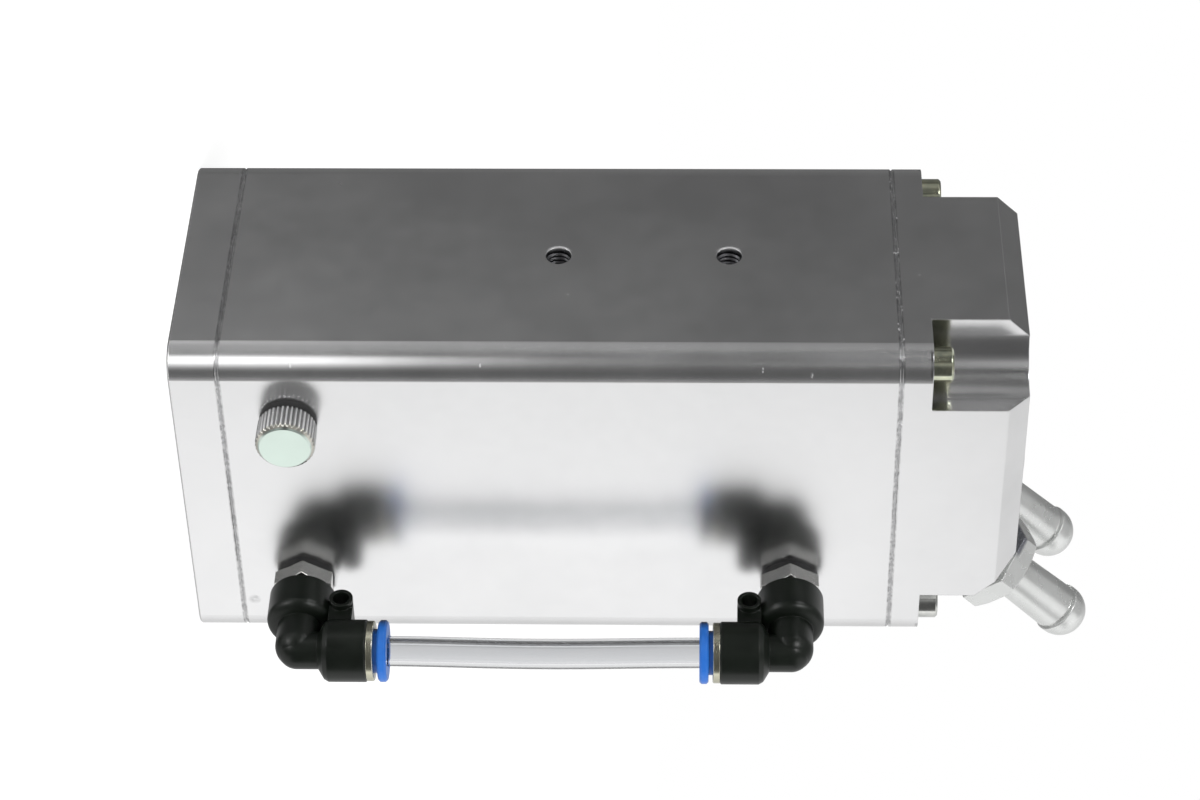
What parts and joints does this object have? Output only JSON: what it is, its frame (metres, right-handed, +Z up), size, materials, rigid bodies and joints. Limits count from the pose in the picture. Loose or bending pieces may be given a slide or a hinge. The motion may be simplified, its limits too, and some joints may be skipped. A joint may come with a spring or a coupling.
{
  "type": "oil catch can",
  "caption": "Square aluminium oil catch can with a bevelled lid, hose nipples, a sight tube between push-in elbows, a knurled drain screw and tapped mounting holes.",
  "frame": {"origin": "centre of the base plate's underside", "axes": "+Z up from the base plate to the lid; -Y out of the face with the sight tube; -X out of the face with the mounting holes"},
  "size_m": [0.092, 0.0879, 0.1826],
  "materials": {
    "can_aluminium": "satin anodised, fine brushed",
    "nipple_aluminium": "turned, satin",
    "yellow_zinc_steel": "yellow zinc plated",
    "nickel_brass": "nickel plated",
    "spring_steel": "bright",
    "seal_rubber": "matte",
    "black_plastic": "moulded, satin",
    "blue_plastic": "moulded, semi-gloss",
    "clear_tube": "clear, glossy",
    "drain_screw_metal": "turned and knurled"
  },
  "bodies": {
    "can": {"body_shell": "can_aluminium", "base_plate": "can_aluminium", "lid": "can_aluminium", "lid_seal_ring": "seal_rubber", "base_seal_ring": "seal_rubber", "lid_screw_1": "yellow_zinc_steel", "lid_screw_2": "yellow_zinc_steel", "lid_screw_3": "yellow_zinc_steel", "lid_screw_4": "yellow_zinc_steel", "base_screw_1": "yellow_zinc_steel", "base_screw_2": "yellow_zinc_steel", "base_screw_3": "yellow_zinc_steel", "base_screw_4": "yellow_zinc_steel", "inlet_nipple": "nipple_aluminium", "outlet_nipple": "nipple_aluminium", "lower_stem": "nickel_brass", "upper_stem": "nickel_brass", "lower_stem_washer": "seal_rubber", "upper_stem_washer": "seal_rubber", "lower_stem_o_ring": "seal_rubber", "upper_stem_o_ring": "seal_rubber", "lower_elbow": "black_plastic", "upper_elbow": "black_plastic", "lower_end_ring": "nickel_brass", "upper_end_ring": "nickel_brass", "lower_grip_ring": "spring_steel", "upper_grip_ring": "spring_steel", "lower_tube_seal": "seal_rubber", "upper_tube_seal": "seal_rubber", "sight_tube": "clear_tube"},
    "lower_release": {"lower_release_ring": "blue_plastic"},
    "upper_release": {"upper_release_ring": "blue_plastic"},
    "drain_carrier": {"drain_washer": "seal_rubber"},
    "drain": {"drain_screw": "drain_screw_metal"}
  },
  "joints": [
    {"name": "lower_release_press", "type": "slide", "parent": "can", "child": "lower_release", "axis": [0, 0, -1], "range_m": [0, 0.0005], "stiffness_N_per_m": 300},
    {"name": "upper_release_press", "type": "slide", "parent": "can", "child": "upper_release", "axis": [0, 0, 1], "range_m": [0, 0.0005], "stiffness_N_per_m": 300},
    {"name": "drain_travel", "type": "slide", "parent": "can", "child": "drain_carrier", "axis": [0, -1, 0], "range_m": [0, 0.006]},
    {"name": "drain_turn", "type": "hinge", "parent": "drain_carrier", "child": "drain", "pos_m": [-0.0213, -0.031, 0.0223], "axis": [0, -1, 0], "range_deg": [0, 2195]}
  ],
  "couplings": [
    {"joint": "drain_turn", "follows": "drain_travel", "rad_per_m": 6283.2}
  ]
}
